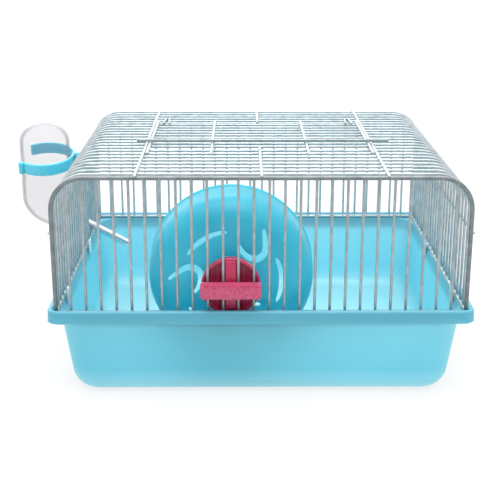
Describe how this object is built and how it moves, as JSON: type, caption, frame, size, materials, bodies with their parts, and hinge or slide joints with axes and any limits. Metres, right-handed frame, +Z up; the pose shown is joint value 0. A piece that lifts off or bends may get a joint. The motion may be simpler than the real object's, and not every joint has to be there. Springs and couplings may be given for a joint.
{
  "type": "hamster cage",
  "caption": "Small pet cage: moulded tray, wire top with hinged roof door, clamped running wheel and hung water bottle.",
  "frame": {"origin": "middle of the tray underside, on the surface that the cage stands on", "axes": "+X right seen from the front, along the longest side; +Y to the back; +Z up"},
  "size_m": [0.3207, 0.2395, 0.1553],
  "materials": {
    "tray_plastic": "satin translucent cyan moulding",
    "lug_plastic": "clear cyan moulding",
    "wire_steel": "zinc-plated wire",
    "dark_steel": "dark plated wire",
    "wheel_plastic": "gloss blue moulding",
    "hub_plastic": "satin magenta moulding",
    "clamp_plastic": "satin pink moulding",
    "bottle_plastic": "clear gloss",
    "strap_plastic": "satin blue moulding",
    "bright_steel": "polished",
    "white_plastic": "matt natural"
  },
  "bodies": {
    "tray": {"tray": "tray_plastic", "left_lug_1": "lug_plastic", "left_lug_2": "lug_plastic", "right_lug_1": "lug_plastic", "right_lug_2": "lug_plastic"},
    "wire_top": {"front_grille": "wire_steel", "back_grille": "wire_steel", "left_wall_wires": "wire_steel", "right_wall_wires": "wire_steel", "left_roof_wires": "wire_steel", "right_roof_wires": "wire_steel", "front_roof_wires": "wire_steel", "back_roof_wires": "wire_steel", "hub_plate": "hub_plastic", "wheel_axle": "bright_steel", "axle_washer": "bright_steel", "axle_cap": "hub_plastic", "bottle_strap": "strap_plastic", "strap_hook": "strap_plastic", "strap_bead": "strap_plastic"},
    "roof_door": {"door_grille": "wire_steel", "door_crossbar": "dark_steel", "left_hinge_loop": "wire_steel", "right_hinge_loop": "wire_steel"},
    "wheel": {"wheel_drum": "wheel_plastic", "wheel_bush": "white_plastic"},
    "clamp": {"clamp_bar": "clamp_plastic"},
    "bottle": {"bottle_body": "bottle_plastic", "bottle_cap": "strap_plastic", "cap_seal": "white_plastic", "drinking_tube": "bright_steel"},
    "valve_ball": {"valve_ball": "bright_steel"}
  },
  "joints": [
    {"name": "wire_top_lift", "type": "slide", "parent": "tray", "child": "wire_top", "axis": [0, 0, 1], "range_m": [0, 0.16]},
    {"name": "roof_door_hinge", "type": "hinge", "parent": "wire_top", "child": "roof_door", "pos_m": [0, 0.0735, 0.1493], "axis": [-1, 0, 0], "range_deg": [0, 150]},
    {"name": "wheel_spin", "type": "hinge", "parent": "wire_top", "child": "wheel", "pos_m": [-0.0196, -0.0981, 0.0767], "axis": [0, 1, 0], "continuous": true},
    {"name": "clamp_turn", "type": "hinge", "parent": "wire_top", "child": "clamp", "pos_m": [-0.0196, -0.118, 0.0767], "axis": [0, 1, 0], "range_deg": [-25, 25]},
    {"name": "bottle_slide", "type": "slide", "parent": "wire_top", "child": "bottle", "axis": [0, 0, 1], "range_m": [0, 0.018]},
    {"name": "valve_ball_travel", "type": "slide", "parent": "bottle", "child": "valve_ball", "axis": [-0.8746, 0, 0.4848], "range_m": [0, 0.001]}
  ]
}
